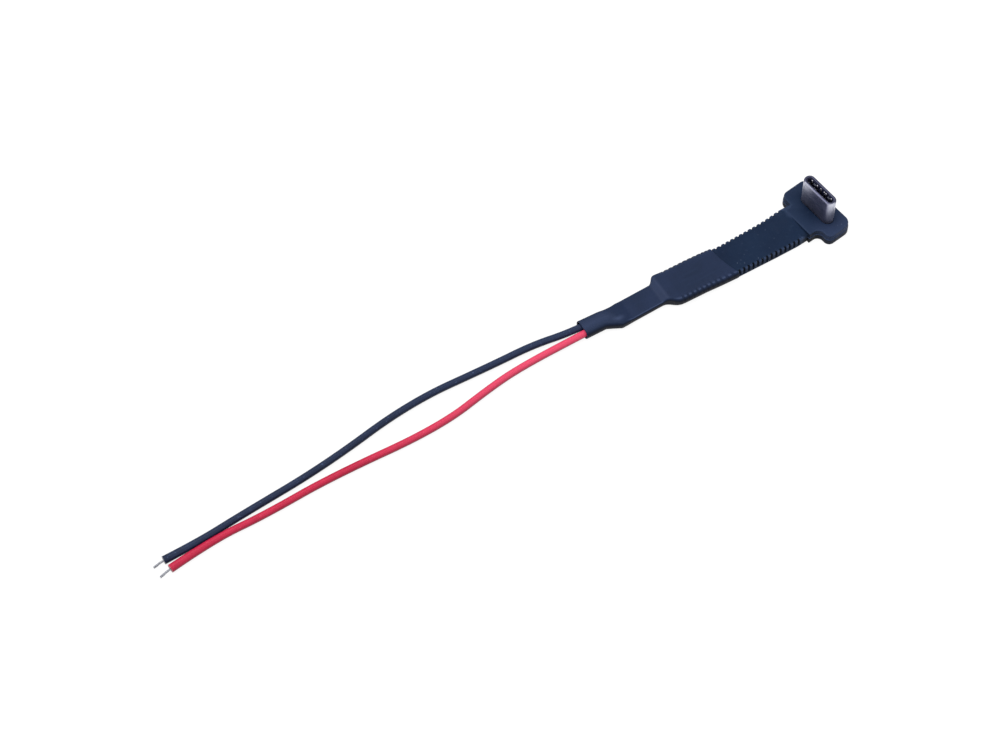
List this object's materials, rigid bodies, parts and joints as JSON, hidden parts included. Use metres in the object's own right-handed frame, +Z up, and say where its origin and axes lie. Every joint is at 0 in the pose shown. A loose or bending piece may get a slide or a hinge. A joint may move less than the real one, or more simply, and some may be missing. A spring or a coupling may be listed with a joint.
{
  "type": "usb-c plug",
  "caption": "Upright reversible data and power plug on a T-shaped head with a flat toothed strap, shrunk sleeve and a red and a black wire.",
  "frame": {"origin": "on the surface the lead rests on, below the middle of head, strap and sleeve", "axes": "+X along the strap from the wires towards the plug, +Y across the strap, +Z up the plug"},
  "size_m": [0.1504, 0.0138, 0.0094],
  "materials": {
    "navy_moulding": "satin moulded",
    "navy_sleeve": "satin shrunk sleeve",
    "plated_shell": "bright drawn and plated",
    "black_insulator": "moulded",
    "spring_steel": "bright stamped",
    "contact_gold": "gold plated",
    "board": "dark lacquer",
    "film": "amber film",
    "copper": "bare copper",
    "stiffener": "laminate",
    "resistor": "glazed",
    "solder": "bright",
    "tinned_strands": "tinned",
    "black_insulation": "smooth blue-black",
    "red_insulation": "smooth red"
  },
  "bodies": {
    "root": {"head_and_strap": "navy_moulding", "heat_shrink_sleeve": "navy_sleeve", "plug_shell": "plated_shell", "plug_insulator": "black_insulator", "latch_spring": "spring_steel", "ground_spring_far": "spring_steel", "ground_spring_near": "spring_steel", "contact_a1": "contact_gold", "contact_a4": "contact_gold", "contact_a5": "contact_gold", "contact_a7": "contact_gold", "contact_a9": "contact_gold", "contact_a12": "contact_gold", "contact_b1": "contact_gold", "contact_b4": "contact_gold", "contact_b5": "contact_gold", "contact_b9": "contact_gold", "contact_b12": "contact_gold", "plug_board": "board", "flex_film": "film", "ground_conductor": "copper", "supply_conductor": "copper", "tail_stiffener": "stiffener", "pull_down_resistor": "resistor", "black_solder_joint": "solder", "red_solder_joint": "solder", "black_wire_strands": "tinned_strands", "red_wire_strands": "tinned_strands", "black_wire": "black_insulation", "red_wire": "red_insulation", "black_wire_tip": "tinned_strands", "red_wire_tip": "tinned_strands"}
  },
  "joints": []
}
